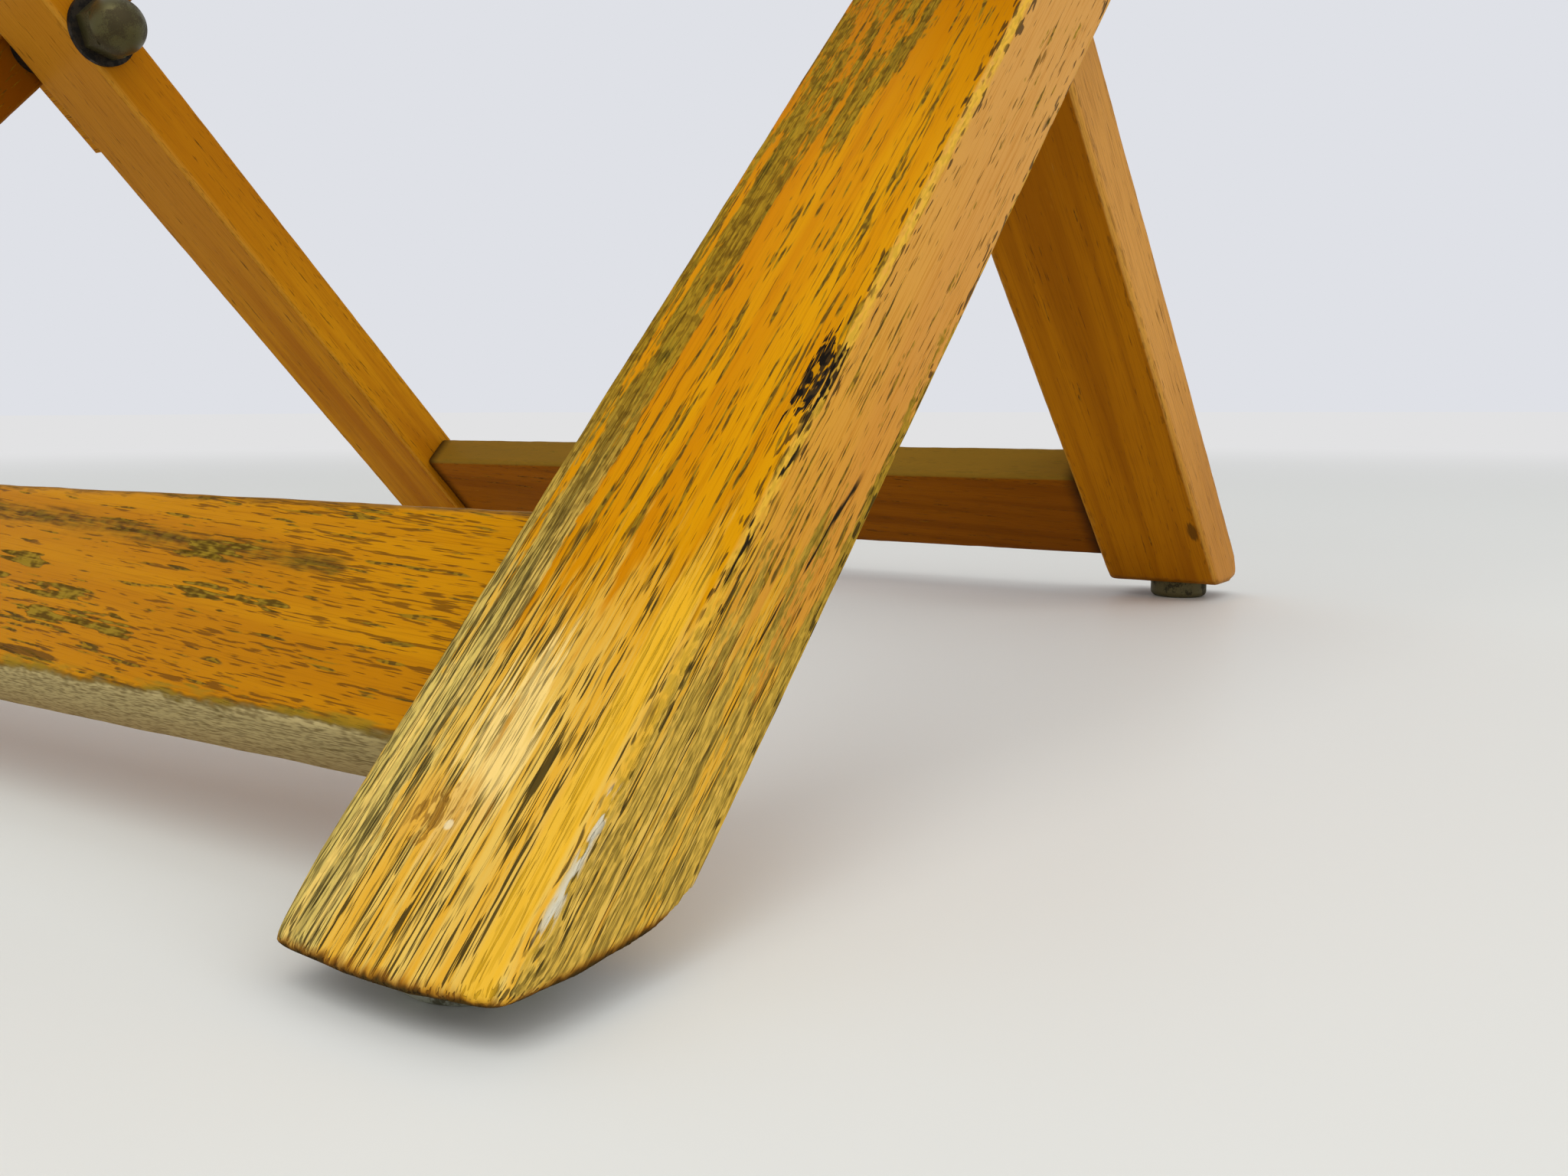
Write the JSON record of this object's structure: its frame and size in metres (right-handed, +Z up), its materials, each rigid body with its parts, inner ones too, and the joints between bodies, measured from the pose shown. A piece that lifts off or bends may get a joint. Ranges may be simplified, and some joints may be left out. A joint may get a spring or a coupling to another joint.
{
  "type": "folding sawhorse",
  "caption": "Low folding sawhorse: two crossed hardwood ladder frames on pivot bolts, with stop blocks, level top rails and round foot glides.",
  "frame": {"origin": "on the floor, under the middle of the pivot axis, with the frames open", "axes": "+X along the pivot axis to the right, -Y to the front where the outer feet stand, +Z up"},
  "size_m": [0.5068, 0.4448, 0.42],
  "materials": {
    "outer_frame_wood": "worn orange varnish, weathered grain",
    "inner_frame_wood": "glossy amber varnish",
    "stop_wood": "satin amber varnish",
    "peg_wood": "end grain, varnished over",
    "bronzed_metal": "dark bronzed, satin",
    "dark_washer": "blackened steel",
    "glide_metal": "dull dark metal",
    "steel_fasteners": "dull zinc"
  },
  "bodies": {
    "outer_frame": {"outer_leg_right": "outer_frame_wood", "outer_leg_left": "outer_frame_wood", "outer_lower_rail": "outer_frame_wood", "outer_top_rail": "outer_frame_wood", "outer_rail_pegs": "peg_wood", "outer_glide_right": "glide_metal", "outer_glide_left": "glide_metal", "outer_glide_nails": "steel_fasteners", "pivot_bolt_right": "bronzed_metal", "pivot_bolt_left": "bronzed_metal", "pivot_spacer_right": "dark_washer", "pivot_spacer_left": "dark_washer", "pivot_washer_right": "dark_washer", "pivot_washer_left": "dark_washer", "pivot_cap_nut_right": "bronzed_metal", "pivot_cap_nut_left": "bronzed_metal"},
    "inner_frame": {"inner_leg_right": "inner_frame_wood", "inner_leg_left": "inner_frame_wood", "inner_lower_rail": "inner_frame_wood", "inner_top_rail": "inner_frame_wood", "inner_rail_pegs": "peg_wood", "inner_glide_right": "glide_metal", "inner_glide_left": "glide_metal", "inner_glide_nails": "steel_fasteners", "stop_block_right": "stop_wood", "stop_block_left": "stop_wood", "stop_screws": "steel_fasteners"}
  },
  "joints": [
    {"name": "fold", "type": "hinge", "parent": "outer_frame", "child": "inner_frame", "pos_m": [0, 0, 0.21], "axis": [-1, 0, 0], "range_deg": [0, 84]}
  ]
}
